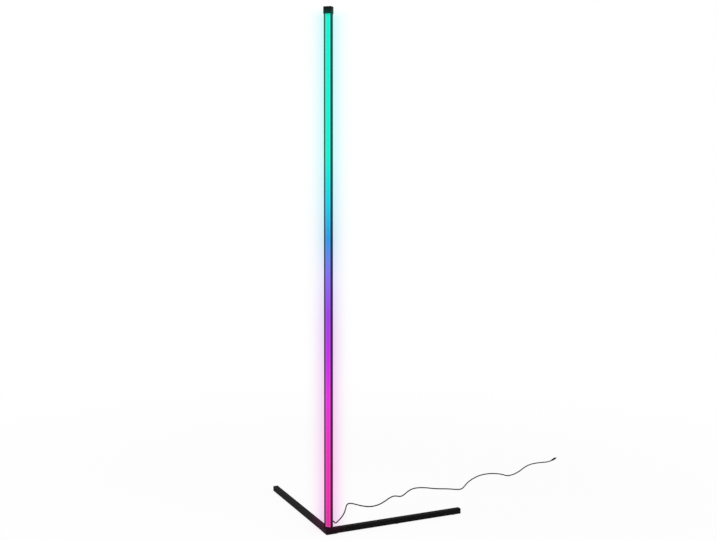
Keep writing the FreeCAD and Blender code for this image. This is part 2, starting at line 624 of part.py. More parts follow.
def revolved(points, start, axis):
    """A turned piece from (radius, distance) points, laid along an axis from a start point."""
    outline = [Vector(radius, 0, distance) for radius, distance in points]
    face = Part.Face(Part.makePolygon(outline + outline[:1]))
    piece = face.revolve(Vector(0, 0, 0), Vector(0, 0, 1), 360)
    turn = FreeCAD.Rotation(Vector(0, 0, 1), axis)
    piece.Placement = FreeCAD.Placement(start, turn)
    return piece


def cord_relief():
    """Rubber strain relief buttoned into the pole's back wall, with a ribbed tapering nose."""
    tip_radius = CORD_DIAMETER / 2 + RELIEF_TIP_WALL
    wall_outside = RELIEF_LIP + POLE_WALL
    nose_start = wall_outside + RELIEF_FLANGE
    outline = [
        (0, 0), (RELIEF_LIP_RADIUS, 0), (RELIEF_LIP_RADIUS, RELIEF_LIP), (RELIEF_NECK_RADIUS, RELIEF_LIP),
        (RELIEF_NECK_RADIUS, wall_outside), (RELIEF_FLANGE_RADIUS, wall_outside),
        (RELIEF_FLANGE_RADIUS, nose_start),
    ]
    pitch = RELIEF_NOSE_LENGTH / RELIEF_RINGS
    for i in range(RELIEF_RINGS):
        radius = RELIEF_NECK_RADIUS + (tip_radius - RELIEF_NECK_RADIUS) * (i + 1) / (RELIEF_RINGS + 1)
        start = nose_start + pitch * i
        outline += [(tip_radius, start), (tip_radius, start + RELIEF_GROOVE), (radius, start + RELIEF_GROOVE),
                    (radius, start + pitch)]
    outline[-1] = (tip_radius, nose_start + RELIEF_NOSE_LENGTH)
    outline.append((0, nose_start + RELIEF_NOSE_LENGTH))
    return revolved(outline, Vector(0, BACK_INSIDE - RELIEF_LIP, EXIT_HEIGHT), Vector(0, 1, 0))


def plug_frame():
    points = route_points()
    return points[-1], (points[-1] - points[-2]).normalize()


def plug_body():
    """Moulded body of the low-voltage plug with a tapering tail."""
    start, axis = plug_frame()
    tail = CORD_DIAMETER / 2 + PLUG_TAIL_WALL
    end = PLUG_TAIL_LENGTH + PLUG_BODY_LENGTH
    outline = [
        (0, 0), (tail, 0), (PLUG_BODY_RADIUS, PLUG_TAIL_LENGTH), (PLUG_BODY_RADIUS, end), (0, end),
    ]
    return revolved(outline, start, axis)


def ring(outer, inner, length):
    start, axis = plug_frame()
    outline = [(inner, 0), (outer, 0), (outer, length), (inner, length)]
    return revolved(outline, start + axis * (PLUG_TAIL_LENGTH + PLUG_BODY_LENGTH), axis)


def plug_barrel():
    return ring(BARREL_RADIUS, BARREL_RADIUS - BARREL_WALL, BARREL_LENGTH)


def plug_insulator():
    return ring(BARREL_RADIUS - BARREL_WALL - PLUG_CLEARANCE, CONTACT_RADIUS + PLUG_CLEARANCE, BARREL_LENGTH)


def plug_contact():
    return ring(CONTACT_RADIUS, CONTACT_BORE, BARREL_LENGTH)


os.makedirs("parts", exist_ok=True)
arm = base_arm_right()
plug = end_plug_right()
write("base_arm_right", arm)
write("base_arm_left", mirrored(arm))
write("end_plug_right", plug)
write("end_plug_left", mirrored(plug))
write("corner_block", corner_block())
write("arm_screws", arm_screws())
write("corner_pad", corner_pad())
write("arm_pads", arm_pads())
write("foot_bracket", foot_bracket())
write("pole_screws", pole_screws())
write("foot_screws", back_screws(foot_screw_places()))
write("pole_lower", pole_lower())
write("pole_upper", pole_upper())
write("splice_bar", splice_bar())
write("splice_screws", back_screws(splice_screw_places()))
write("top_cap", top_cap())
write("diffuser", diffuser())
write("led_strip", led_strip())
write("led_chips", led_chips())
write("control_board", control_board())
write("board_parts", board_parts())
write("strip_leads", strip_leads())
write("inner_leads", inner_leads())
write("cord_relief", cord_relief())
write("power_cord", power_cord())
write("plug_body", plug_body())
write("plug_barrel", plug_barrel())
write("plug_insulator", plug_insulator())
write("plug_contact", plug_contact())
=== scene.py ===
import math
import bmesh
import bpy
from mathutils import Matrix, Vector


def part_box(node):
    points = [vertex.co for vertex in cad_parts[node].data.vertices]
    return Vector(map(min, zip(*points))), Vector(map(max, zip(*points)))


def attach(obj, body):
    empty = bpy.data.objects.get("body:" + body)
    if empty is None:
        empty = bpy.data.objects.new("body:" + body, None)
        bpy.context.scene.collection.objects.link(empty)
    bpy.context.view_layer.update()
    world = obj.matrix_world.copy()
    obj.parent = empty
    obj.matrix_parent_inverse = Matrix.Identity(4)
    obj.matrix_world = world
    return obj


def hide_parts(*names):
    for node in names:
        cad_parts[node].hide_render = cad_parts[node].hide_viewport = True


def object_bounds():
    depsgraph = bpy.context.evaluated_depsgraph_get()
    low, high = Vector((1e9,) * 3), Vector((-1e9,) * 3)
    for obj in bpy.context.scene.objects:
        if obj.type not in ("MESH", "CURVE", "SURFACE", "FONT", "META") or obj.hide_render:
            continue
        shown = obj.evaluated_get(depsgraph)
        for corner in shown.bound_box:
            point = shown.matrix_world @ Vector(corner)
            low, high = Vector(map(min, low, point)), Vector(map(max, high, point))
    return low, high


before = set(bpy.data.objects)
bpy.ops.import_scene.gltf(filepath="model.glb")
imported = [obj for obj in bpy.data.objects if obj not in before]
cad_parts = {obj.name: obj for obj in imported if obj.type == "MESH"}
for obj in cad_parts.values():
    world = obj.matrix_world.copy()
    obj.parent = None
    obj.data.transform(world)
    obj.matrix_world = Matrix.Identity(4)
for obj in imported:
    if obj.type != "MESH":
        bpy.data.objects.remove(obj)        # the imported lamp, every piece at its real size and place, in metres
cad_low, cad_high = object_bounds()


# ---- Camera -------------------------------------------------------------------------------------
# The lamp is looked at from 2.6 m away, from a little to its right and from two thirds of its
# height, slightly downwards, through a 50 mm lens.
CAMERA_PLACE = Vector((0.9866, -2.4512, 0.9669))
CAMERA_YAW = math.radians(20.232)
CAMERA_PITCH = math.radians(-5.393)
CAMERA_ROLL = math.radians(0.131)
CAMERA_LENS = 50.45
SENSOR_WIDTH = 36.0

camera = bpy.data.objects.new("camera", bpy.data.cameras.new("camera"))
camera.data.sensor_fit = "HORIZONTAL"
camera.data.sensor_width = SENSOR_WIDTH
camera.data.lens = CAMERA_LENS
level_to_view = math.radians(90) + CAMERA_PITCH
camera.matrix_world = (Matrix.Translation(CAMERA_PLACE) @ Matrix.Rotation(CAMERA_YAW, 4, "Z")
                       @ Matrix.Rotation(level_to_view, 4, "X") @ Matrix.Rotation(CAMERA_ROLL, 4, "Z"))
bpy.context.scene.collection.objects.link(camera)
bpy.context.scene.camera = camera


# ---- Base arms and foot -------------------------------------------------------------------------
# Two mitred lengths of 15 mm square steel tube and the foot bracket under the pole, all with the
# same matt black powder coat: a fine orange peel, a few coarser flow marks and pale dust specks.
def socket_of(sockets, key):
    """A node's socket by its place, its name or its identifier."""
    if isinstance(key, int):
        return sockets[key]
    return next(socket for socket in sockets if key in (socket.identifier, socket.name))


class Signal:
    """A socket in a finish's node tree. Arithmetic on it adds Math nodes, and node() adds any other."""

    def __init__(self, tree, socket=None):
        self.tree = tree
        self.socket = socket

    def node(self, kind, settings=None, inputs=None, output=0):
        """A node of one kind, with its settings first and then its sockets' values or links."""
        made = self.tree.nodes.new("ShaderNode" + kind)
        for name, value in (settings or {}).items():
            if name == "stops":
                ramp = made.color_ramp.elements
                ramp.remove(ramp[1])
                ramp[0].position, ramp[0].color = value[0]
                for position, colour in value[1:]:
                    ramp.new(position).color = colour
            else:
                setattr(made, name, value)
        for key, value in (inputs or {}).items():
            socket = socket_of(made.inputs, key)
            if isinstance(value, Signal):
                self.tree.links.new(value.socket, socket)
            else:
                socket.default_value = value
        return Signal(self.tree, None if output is None else socket_of(made.outputs, output))

    def math(self, operation, *values):
        return self.node("Math", {"operation": operation}, dict(enumerate(values)))

    def __add__(self, other):
        return self.math("ADD", self, other)

    def __sub__(self, other):
        return self.math("SUBTRACT", self, other)

    def __rsub__(self, other):
        return self.math("SUBTRACT", other, self)

    def __mul__(self, other):
        return self.math("MULTIPLY", self, other)

    def __abs__(self):
        return self.math("ABSOLUTE", self)

    __radd__ = __add__
    __rmul__ = __mul__

    def rise(self, start, end):
        """Runs smoothly from 0, where this value is start, to 1, where it is end."""
        steps = {"Value": self, "From Min": start, "From Max": end}
        return self.node("MapRange", {"interpolation_type": "SMOOTHSTEP"}, steps)

    def wave(self, pitch, shape="COSINE"):
        """Swings between -1 and 1, once for each pitch that this value grows."""
        return self.math(shape, self * (math.tau / pitch))

    def mix(self, none, full):
        """A colour that goes from none to full with this value."""
        colours = {"Factor_Float": self, "A_Color": none, "B_Color": full}
        return self.node("Mix", {"data_type": "RGBA"}, colours, "Result_Color")

    def place(self):
        """The point on the object, in the lamp's own frame, in metres."""
        return self.node("TexCoord", output="Object")

    def distance(self, axis):
        """How far the point lies along one of the lamp's axes, in metres."""
        return self.node("SeparateXYZ", inputs={"Vector": self.place()}, output=axis)

    def noise(self, size, detail=2.0, stretch=(1.0, 1.0, 1.0)):
        """Soft noise with features of about a size in metres, longer where stretch is over 1."""
        scale = [1.0 / (size * along) for along in stretch]
        point = self.node("Mapping", inputs={"Vector": self.place(), "Scale": scale})
        return self.node("TexNoise", inputs={"Vector": point, "Scale": 1.0, "Detail": detail})

    def bump(self, height, depth):
        """A surface normal from a height that runs from 0 to 1, over a depth in metres."""
        return self.node("Bump", inputs={"Height": height, "Distance": depth}, output="Normal")

    def surface(self, inputs):
        """Ends the tree in one shader with these values."""
        shader = self.node("BsdfPrincipled", inputs=inputs)
        self.node("OutputMaterial", inputs={"Surface": shader}, output=None)


def new_finish(name):
    """An empty material and the start of its node tree."""
    material = bpy.data.materials.new(name)
    material.use_nodes = True
    material.node_tree.nodes.clear()
    return material, Signal(material.node_tree)


def screen_colour(red, green, blue):
    """A colour as a display shows it, 0 to 255, turned into light by the standard display curve."""
    def light(value):
        share = value / 255
        return share / 12.92 if share <= 0.04045 else ((share + 0.055) / 1.055) ** 2.4
    return (light(red), light(green), light(blue), 1.0)


def dress(material, *nodes):
    """Gives lamp pieces a finish."""
    for node in nodes:
        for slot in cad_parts[node].material_slots:
            slot.material = material


COAT_BLACK = screen_colour(17, 16, 16)
COAT_GREY = screen_colour(36, 35, 34)
ORANGE_PEEL = 0.0011
FLOW_MARK = 0.018
DUST_SPECK = ORANGE_PEEL / 3
SPECKS_FROM, SPECKS_TO = 0.66, 0.74
PEEL_DEPTH = 0.00012
MATT_SHINE = 0.025

powder_coat, start = new_finish("powder_coat")
peel = start.noise(ORANGE_PEEL, detail=3.0)
marks = start.noise(FLOW_MARK)
specks = start.noise(DUST_SPECK).rise(SPECKS_FROM, SPECKS_TO)
start.surface({
    "Base Color": (marks * 0.35 + specks * 0.5).mix(COAT_BLACK, COAT_GREY),
    "Roughness": 0.5 + 0.1 * marks + 0.06 * peel,
    "Normal": start.bump(peel + 0.6 * marks, PEEL_DEPTH),
    "Specular IOR Level": MATT_SHINE,
})
dress(powder_coat, "base_arm_left", "base_arm_right", "foot_bracket")


# ---- Arm end plugs ------------------------------------------------------------------------------
# Square plugs of moulded black plastic pushed into the open ends of the arms. Their flange has the
# fine spark-eroded grain of its mould and is a little darker than the coated tube.
PLUG_BLACK = screen_colour(12, 12, 12)
PLUG_GREY = screen_colour(24, 24, 24)
MOULD_GRAIN = 0.0004
GRAIN_DEPTH = 0.00005

moulded_black, start = new_finish("moulded_black")
grain = start.noise(MOULD_GRAIN, detail=4.0)
start.surface({
    "Base Color": grain.mix(PLUG_BLACK, PLUG_GREY),
    "Roughness": 0.5 + 0.12 * grain,
    "Normal": start.bump(grain, GRAIN_DEPTH),
    "Specular IOR Level": MATT_SHINE,
})
dress(moulded_black, "end_plug_left", "end_plug_right")


# ---- Corner block -------------------------------------------------------------------------------
# A die-cast zinc L inside the corner that joins both tubes. The casting is dull grey with cold-flow
# mottling and a slightly rough skin.
CAST_DARK = screen_colour(120, 122, 126)
CAST_PALE = screen_colour(168, 170, 174)
COLD_FLOW = 0.009
CAST_SKIN = 0.0008
SKIN_DEPTH = 0.00008

cast_zinc, start = new_finish("cast_zinc")
mottle = start.noise(COLD_FLOW, detail=5.0)
start.surface({
    "Base Color": mottle.mix(CAST_DARK, CAST_PALE),
    "Metallic": 0.85,
    "Roughness": 0.48 + 0.14 * mottle,
    "Normal": start.bump(start.noise(CAST_SKIN), SKIN_DEPTH),
})
dress(cast_zinc, "corner_block")


# ---- Pads ---------------------------------------------------------------------------------------
# Die-cut rubber under the corner and four round pads under the arms, one millimetre thick. The
# rubber is dull, with the weave of the sheet it was pressed on and some dust.
RUBBER_BLACK = screen_colour(30, 30, 30)
RUBBER_GREY = screen_colour(62, 61, 59)
SHEET_PITCH = 0.0009
SHEET_DEPTH = 0.00008
DUST_PATCH = 0.006
DUST_FROM, DUST_TO = 0.45, 0.8
RUBBER_SHINE = 0.04

pad_rubber, start = new_finish("pad_rubber")
threads = [start.distance(axis).wave(SHEET_PITCH, "SINE") for axis in "XY"]
weave = 0.5 + 0.5 * threads[0] * threads[1]
dust = start.noise(DUST_PATCH, detail=4.0).rise(DUST_FROM, DUST_TO)
start.surface({
    "Base Color": dust.mix(RUBBER_BLACK, RUBBER_GREY),
    "Roughness": 0.82 + 0.1 * dust,
    "Normal": start.bump(weave, SHEET_DEPTH),
    "Specular IOR Level": RUBBER_SHINE,
})
dress(pad_rubber, "corner_pad", "arm_pads")


# ---- Screws -------------------------------------------------------------------------------------
# Countersunk and pan head steel screws with a hexagon socket, black oxide finished: nearly black,
# with a brownish cast and the fine marks of the turning tool.
OXIDE_BLACK = screen_colour(30, 28, 27)
OXIDE_BROWN = screen_colour(58, 52, 47)
OXIDE_STAIN = 0.0016
TOOL_MARK = 0.0002
TOOL_DEPTH = 0.00003

black_oxide, start = new_finish("black_oxide")
stain = start.noise(OXIDE_STAIN, detail=3.0)
start.surface({
    "Base Color": stain.mix(OXIDE_BLACK, OXIDE_BROWN),
    "Metallic": 0.7,
    "Roughness": 0.34 + 0.16 * stain,
    "Normal": start.bump(start.noise(TOOL_MARK), TOOL_DEPTH),
})
dress(black_oxide, "arm_screws", "pole_screws", "foot_screws", "splice_screws")


# ---- Splice bar ---------------------------------------------------------------------------------
# A flat steel bar in the pole's rear chamber that joins the two pole lengths. It is cut from rolled
# strip and zinc plated, so it has rolling lines along it and a spangled, bluish shine.
ZINC_BLUE = screen_colour(150, 156, 165)
ZINC_PALE = screen_colour(196, 199, 202)
SPANGLE = 0.003
ROLLING_LINE = 0.0004
ROLLING_STRETCH = 60.0
ROLLING_DEPTH = 0.00002

zinc_plate, start = new_finish("zinc_plate")
crystals = {"Vector": start.place(), "Scale": 1 / SPANGLE}
spangle = start.node("TexVoronoi", inputs=crystals, output="Color")
flecks = start.node("SeparateColor", inputs={"Color": spangle}, output="Red")
rolled = start.noise(ROLLING_LINE, stretch=(1.0, 1.0, ROLLING_STRETCH))
start.surface({
    "Base Color": flecks.mix(ZINC_BLUE, ZINC_PALE),
    "Metallic": 1.0,
    "Roughness": 0.24 + 0.1 * flecks + 0.1 * rolled,
    "Normal": start.bump(rolled, ROLLING_DEPTH),
})
dress(zinc_plate, "splice_bar")


# ---- Pole ---------------------------------------------------------------------------------------
# Two lengths of one aluminium extrusion, end to end, anodised satin black. The die leaves fine
# lines along the whole length, and the dye bath leaves faint cloudy patches.
ANODISED_BLACK = screen_colour(8, 8, 10)
ANODISED_GREY = screen_colour(22, 23, 26)
DIE_LINE = 0.0005
DIE_STRETCH = 300.0
DIE_DEPTH = 0.00002
DYE_CLOUD = 0.05
DYE_STRETCH = 3.0
ANODISED_SHINE = 0.015

anodised_black, start = new_finish("anodised_black")
lines = start.noise(DIE_LINE, detail=3.0, stretch=(1.0, 1.0, DIE_STRETCH))
cloud = start.noise(DYE_CLOUD, stretch=(1.0, 1.0, DYE_STRETCH))
start.surface({
    "Base Color": (0.5 * lines + 0.5 * cloud).mix(ANODISED_BLACK, ANODISED_GREY),
    "Roughness": 0.36 + 0.12 * lines + 0.06 * cloud,
    "Normal": start.bump(lines, DIE_DEPTH),
    "Specular IOR Level": ANODISED_SHINE,
})
dress(anodised_black, "pole_lower", "pole_upper")


# ---- Top cap ------------------------------------------------------------------------------------
# A slip-over cap of moulded black plastic, a millimetre thick, with a finer and shinier mould face
# than the arm plugs, so that its rounded top edge catches a thin line of light.
CAP_BLACK = screen_colour(6, 7, 8)
CAP_GREY = screen_colour(18, 18, 20)
CAP_GRAIN = 0.0002
CAP_DEPTH = 0.00002
CAP_SHINE = 0.03

cap_black, start = new_finish("cap_black")
grain = start.noise(CAP_GRAIN, detail=3.0)
start.surface({
    "Base Color": grain.mix(CAP_BLACK, CAP_GREY),
    "Roughness": 0.34 + 0.1 * grain,
    "Normal": start.bump(grain, CAP_DEPTH),
    "Specular IOR Level": CAP_SHINE,
})
dress(cap_black, "top_cap")


# ---- Diffuser -----------------------------------------------------------------------------------
# One snap-in strip of opal plastic as long as the pole, lit from behind. The light runs from green
# blue at the top through blue and violet to pink at the foot, and is a little paler along the
# strip's edges and at its ends. The strip's own colour is painted glow, about a third of the light's
# colour, with painted hot spots over each chip. Each stop is a height above the floor and its colour.
LIGHT_STOPS = (
    (0.02, screen_colour(235, 46, 162)),
    (0.22, screen_colour(236, 48, 186)),
    (0.36, screen_colour(238, 49, 226)),
    (0.49, screen_colour(199, 46, 238)),
    (0.60, screen_colour(163, 65, 235)),
    (0.70, screen_colour(134, 110, 241)),
    (0.80, screen_colour(40, 157, 230)),
    (0.90, screen_colour(8, 212, 230)),
    (1.02, screen_colour(4, 243, 206)),
)
LIGHT_REACH = 1.4
LIGHT_STRENGTH = 0.7
WHITE = (1.0, 1.0, 1.0, 1.0)
BLACK = (0.0, 0.0, 0.0, 1.0)
EDGE_FROM, EDGE_TO, EDGE_PALENESS = 0.0014, 0.0044, 0.055
END_BAND, END_PALENESS = 0.006, 0.06
# How far the painted glow in the strip's own colour is dimmed, and how much brighter its painted hot spots over
# the chips are.
GLOW_PAINT_DIMMING, CHIP_HOTSPOT_PAINT = 0.66, 0.03
CHIP_PITCH = 1 / 60
SATIN_DEPTH = 0.00002
OPAL_SHINE = 0.08
light_low, light_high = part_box("diffuser")


def by_height(start, height, colours):
    """The colour at a height above the floor, from stops that each give a height and its colour."""
    stops = [(level / LIGHT_REACH, colour) for level, colour in colours]
    return start.node("ValToRGB", {"stops": stops}, {"Fac": height * (1 / LIGHT_REACH)})


lit_opal, start = new_finish("lit_opal")
height = start.distance("Z")
edge = abs(start.distance("X")).rise(EDGE_FROM, EDGE_TO)
from_end = start.math("MINIMUM", height - light_low.z, light_high.z - height)
pale = edge * EDGE_PALENESS + (1 - from_end.rise(0.0, END_BAND)) * END_PALENESS
colour = pale.mix(by_height(start, height, LIGHT_STOPS), WHITE)
chips = 0.5 + 0.5 * height.wave(CHIP_PITCH)
satin = start.noise(MOULD_GRAIN, detail=3.0)
start.surface({
    # Base Color is painted glow: the light's colour dimmed, with a painted hot spot over each chip behind.
    "Base Color": (GLOW_PAINT_DIMMING - CHIP_HOTSPOT_PAINT * chips).mix(colour, BLACK),
    "Roughness": 0.5 + 0.1 * satin,
    "Normal": start.bump(satin, SATIN_DEPTH),
    "Specular IOR Level": OPAL_SHINE,
    "Emission Color": colour,
    "Emission Strength": LIGHT_STRENGTH,
})
dress(lit_opal, "diffuser")


# ---- Light strip --------------------------------------------------------------------------------
# A flexible white circuit strip stuck to the pole's shelf, with square colour chips every 17 mm.
# Each chip is a white housing round a yellowish lens, and shines in the colour of its height.
MASK_WHITE = screen_colour(236, 236, 230)
MASK_SHADE = screen_colour(214, 213, 205)
LENS_YELLOW = screen_colour(230, 214, 140)
LENS_PATCH = 0.0012
SOLDER_FROM, SOLDER_TO = 0.55, 0.75
CHIP_STRENGTH = 0.8

strip_mask, start = new_finish("strip_mask")
solder = start.distance("Z").wave(CHIP_PITCH).rise(SOLDER_FROM, SOLDER_TO)
start.surface({
    "Base Color": solder.mix(MASK_WHITE, MASK_SHADE),
    "Roughness": 0.42 + 0.1 * start.noise(MOULD_GRAIN),
    "Metallic": solder * 0.5,
})
dress(strip_mask, "led_strip")

chip_lens, start = new_finish("chip_lens")
start.surface({
    "Base Color": start.noise(LENS_PATCH).mix(MASK_WHITE, LENS_YELLOW),
    "Roughness": 0.2 + 0.1 * start.noise(MOULD_GRAIN),
    "Emission Color": by_height(start, start.distance("Z"), LIGHT_STOPS),
    "Emission Strength": CHIP_STRENGTH,
})
dress(chip_lens, "led_chips")


# ---- Control board ------------------------------------------------------------------------------
# A narrow circuit board above the foot with the colour controller, its black moulded parts, and the
# thin leads that join it to the cord below and to the light strip in front.
BOARD_GREEN = screen_colour(14, 84, 44)
TRACK_GREEN = screen_colour(40, 122, 66)
TRACK_PITCH = 0.0016
TRACK_FROM, TRACK_TO = 0.2, 0.6
TRACK_DEPTH = 0.00003
BOARD_GRAIN = 0.0008
CHIP_GRAIN = 0.0002
CHIP_DEPTH = 0.00001
LEAD_RED = screen_colour(150, 26, 24)
LEAD_DARK = screen_colour(96, 16, 16)
LEAD_PATCH = 0.002

solder_mask, start = new_finish("solder_mask")
tracks = start.distance("X").wave(TRACK_PITCH).rise(TRACK_FROM, TRACK_TO)
start.surface({
    "Base Color": tracks.mix(BOARD_GREEN, TRACK_GREEN),
    "Roughness": 0.3 + 0.12 * start.noise(BOARD_GRAIN),
    "Normal": start.bump(tracks, TRACK_DEPTH),
})
dress(solder_mask, "control_board")

chip_black, start = new_finish("chip_black")
grain = start.noise(CHIP_GRAIN)
start.surface({
    "Base Color": grain.mix(PLUG_BLACK, PLUG_GREY),
    "Roughness": 0.6 + 0.1 * grain,
    "Normal": start.bump(grain, CHIP_DEPTH),
})
dress(chip_black, "board_parts", "plug_insulator")

lead_cover, start = new_finish("lead_cover")
start.surface({
    "Base Color": start.noise(LEAD_PATCH).mix(LEAD_RED, LEAD_DARK),
    "Roughness": 0.4 + 0.1 * start.noise(MOULD_GRAIN),
})
dress(lead_cover, "inner_leads", "strip_leads")


# ---- Strain relief ------------------------------------------------------------------------------
# A rubber relief buttoned into the pole's back wall: a lip inside, a neck in the wall, a flange
# outside, and a nose of round ribs that tapers down to the cord.
LIP_RADIUS, LIP_THICKNESS = 0.0036, 0.0008
LIP_FACE = LIP_RADIUS * 0.92
LIP_BEVEL = LIP_THICKNESS * 0.3
NECK_RADIUS, WALL_THICKNESS = 0.003, 0.0015
FLANGE_RADIUS, FLANGE_THICKNESS = 0.004, 0.0015
FLANGE_SHOULDER = FLANGE_RADIUS * 0.93
FLANGE_FACE = FLANGE_RADIUS * 0.85
FLANGE_BEVEL = FLANGE_THICKNESS * 0.3
SHOULDER_BEVEL = FLANGE_THICKNESS * 0.08
TIP_RADIUS, TIP_BEVEL = 0.0021, 0.0006
TIP_FACE = TIP_RADIUS * 0.95
RIB_COUNT = 6
RIB_HEIGHT = 0.0005
RIB_POINTS = 6
LAST_RIB = TIP_RADIUS + RIB_HEIGHT * 0.6
TURNING_STEPS = 32
MERGE_DISTANCE = 1e-6
SPRING_BLACK = screen_colour(24, 24, 24)
SPRING_GREY = screen_colour(46, 45, 44)
BLOOM = 0.00225
BLOOM_DEPTH = 0.00002
SPRING_SHINE = 0.08


def placed(name, mesh):
    """The object that a bmesh becomes, in the scene."""
    data = bpy.data.meshes.new(name)
    mesh.to_mesh(data)
    mesh.free()
    made = bpy.data.objects.new(name, data)
    bpy.context.scene.collection.objects.link(made)
    return made


def turned(name, profile, foot, axis):
    """A turned piece: a profile of (radius, distance along the axis) points, spun round the axis."""
    mesh = bmesh.new()
    rim = [mesh.verts.new((radius, 0.0, distance)) for radius, distance in profile]
    line = [mesh.edges.new(pair) for pair in zip(rim, rim[1:])]
    bmesh.ops.spin(mesh, geom=rim + line, axis=(0, 0, 1), cent=(0, 0, 0), angle=math.tau,
                   steps=TURNING_STEPS, use_merge=True)
    bmesh.ops.remove_doubles(mesh, verts=mesh.verts, dist=MERGE_DISTANCE)
    bmesh.ops.recalc_face_normals(mesh, faces=mesh.faces)
    turn = Vector((0, 0, 1)).rotation_difference(axis).to_matrix().to_4x4()
    bmesh.ops.transform(mesh, matrix=Matrix.Translation(foot) @ turn, verts=mesh.verts)
    for face in mesh.faces:
        face.smooth = True
    return placed(name, mesh)


def ribbed(start_radius, end_radius, first, last, count):
    """Profile points of round ribs that follow a taper from one radius and distance to another."""
    points = []
    for i in range(count * RIB_POINTS):
        share = i / (count * RIB_POINTS)
        swell = math.sin(math.pi * (i % RIB_POINTS) / RIB_POINTS)
        radius = start_radius + (end_radius - start_radius) * share
        points.append((radius - RIB_HEIGHT + RIB_HEIGHT * swell, first + (last - first) * share))
    return points


relief_low, relief_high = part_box("cord_relief")
relief_foot = Vector((0.0, relief_low.y, (relief_low.z + relief_high.z) / 2))
neck_end = LIP_THICKNESS + WALL_THICKNESS
nose_start = neck_end + FLANGE_THICKNESS
nose_end = relief_high.y - relief_low.y
tip_start = nose_end - TIP_BEVEL
relief_profile = [
    (0.0, 0.0), (LIP_FACE, 0.0), (LIP_RADIUS, LIP_BEVEL), (LIP_RADIUS, LIP_THICKNESS),
    (NECK_RADIUS, LIP_THICKNESS), (NECK_RADIUS, neck_end),
    (FLANGE_RADIUS, neck_end), (FLANGE_RADIUS, nose_start - FLANGE_BEVEL),
    (FLANGE_SHOULDER, nose_start - SHOULDER_BEVEL), (FLANGE_FACE, nose_start),
]
relief_profile += ribbed(NECK_RADIUS, LAST_RIB, nose_start, tip_start, RIB_COUNT)
relief_profile += [(TIP_RADIUS, tip_start), (TIP_FACE, nose_end), (0.0, nose_end)]
relief = turned("strain_relief", relief_profile, relief_foot, Vector((0, 1, 0)))

spring_rubber, start = new_finish("spring_rubber")
bloom = start.noise(BLOOM, detail=4.0)
start.surface({
    "Base Color": bloom.mix(SPRING_BLACK, SPRING_GREY),
    "Roughness": 0.6 + 0.15 * bloom,
    "Normal": start.bump(start.noise(MOULD_GRAIN), BLOOM_DEPTH),
    "Specular IOR Level": SPRING_SHINE,
})
relief.data.materials.append(spring_rubber)
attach(relief, "root")
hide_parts("cord_relief")


# ---- Cord ---------------------------------------------------------------------------------------
# A thin round low-voltage lead, 3.5 mm across and 1.2 m long, with a soft black cover. It leaves
# the strain relief straight, drops to the floor between the arms and lies there in loose bends.
CORD_DIAMETER = 0.0035
EXIT_HEIGHT = 0.0225
FLOOR_LEVEL = 0.0018
PLUG_LEVEL = 0.0032
CORD_ROUTE = (
    (0, 0.026, EXIT_HEIGHT), (-0.001, 0.040, EXIT_HEIGHT), (-0.005, 0.057, 0.0098),
    (-0.009, 0.079, FLOOR_LEVEL), (-0.012, 0.132, FLOOR_LEVEL), (-0.019, 0.170, FLOOR_LEVEL),
    (-0.029, 0.206, FLOOR_LEVEL), (-0.038, 0.237, FLOOR_LEVEL), (-0.034, 0.252, FLOOR_LEVEL),
    (-0.017, 0.249, FLOOR_LEVEL), (0.007, 0.240, FLOOR_LEVEL), (0.035, 0.241, FLOOR_LEVEL),
    (0.052, 0.268, FLOOR_LEVEL), (0.058, 0.306, FLOOR_LEVEL), (0.061, 0.342, FLOOR_LEVEL),
    (0.068, 0.364, FLOOR_LEVEL), (0.090, 0.361, FLOOR_LEVEL), (0.093, 0.392, FLOOR_LEVEL),
    (0.094, 0.425, FLOOR_LEVEL), (0.102, 0.457, FLOOR_LEVEL), (0.130, 0.473, FLOOR_LEVEL),
    (0.166, 0.472, FLOOR_LEVEL), (0.201, 0.486, FLOOR_LEVEL), (0.242, 0.490, FLOOR_LEVEL),
    (0.244, 0.526, FLOOR_LEVEL), (0.243, 0.574, FLOOR_LEVEL), (0.250, 0.620, FLOOR_LEVEL),
    (0.262, 0.662, FLOOR_LEVEL), (0.290, 0.693, FLOOR_LEVEL), (0.324, 0.697, FLOOR_LEVEL),
    (0.347, 0.682, FLOOR_LEVEL), (0.362, 0.706, FLOOR_LEVEL), (0.373, 0.746, FLOOR_LEVEL),
    (0.379, 0.795, FLOOR_LEVEL), (0.391, 0.842, FLOOR_LEVEL), (0.419, 0.874, FLOOR_LEVEL),
    (0.446, 0.885, PLUG_LEVEL), (0.452, 0.909, PLUG_LEVEL),
)
ROUND_STEPS = 5
LINE_STEPS = 10
COVER_BLACK = screen_colour(10, 10, 11)
COVER_GREY = screen_colour(27, 27, 29)
COVER_RUB = 0.009
COVER_GRAIN = 0.0008
COVER_DEPTH = 0.00003
COVER_SHINE = 0.02

cord_line = bpy.data.curves.new("cord", "CURVE")
cord_line.dimensions = "3D"
cord_line.bevel_depth = CORD_DIAMETER / 2
cord_line.bevel_resolution = ROUND_STEPS
cord_line.resolution_u = LINE_STEPS
cord_line.use_fill_caps = True
route = cord_line.splines.new("NURBS")
route.points.add(len(CORD_ROUTE) - 1)
for point, place in zip(route.points, CORD_ROUTE):
    point.co = (*place, 1.0)
route.order_u = 3
route.use_endpoint_u = True
cord = bpy.data.objects.new("cord", cord_line)
bpy.context.scene.collection.objects.link(cord)

soft_cover, start = new_finish("soft_cover")
rub = start.noise(COVER_RUB, detail=3.0)
start.surface({
    "Base Color": rub.mix(COVER_BLACK, COVER_GREY),
    "Roughness": 0.44 + 0.14 * rub,
    "Normal": start.bump(start.noise(COVER_GRAIN), COVER_DEPTH),
    "Specular IOR Level": COVER_SHINE,
})
cord.data.materials.append(soft_cover)
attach(cord, "root")
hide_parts("power_cord")


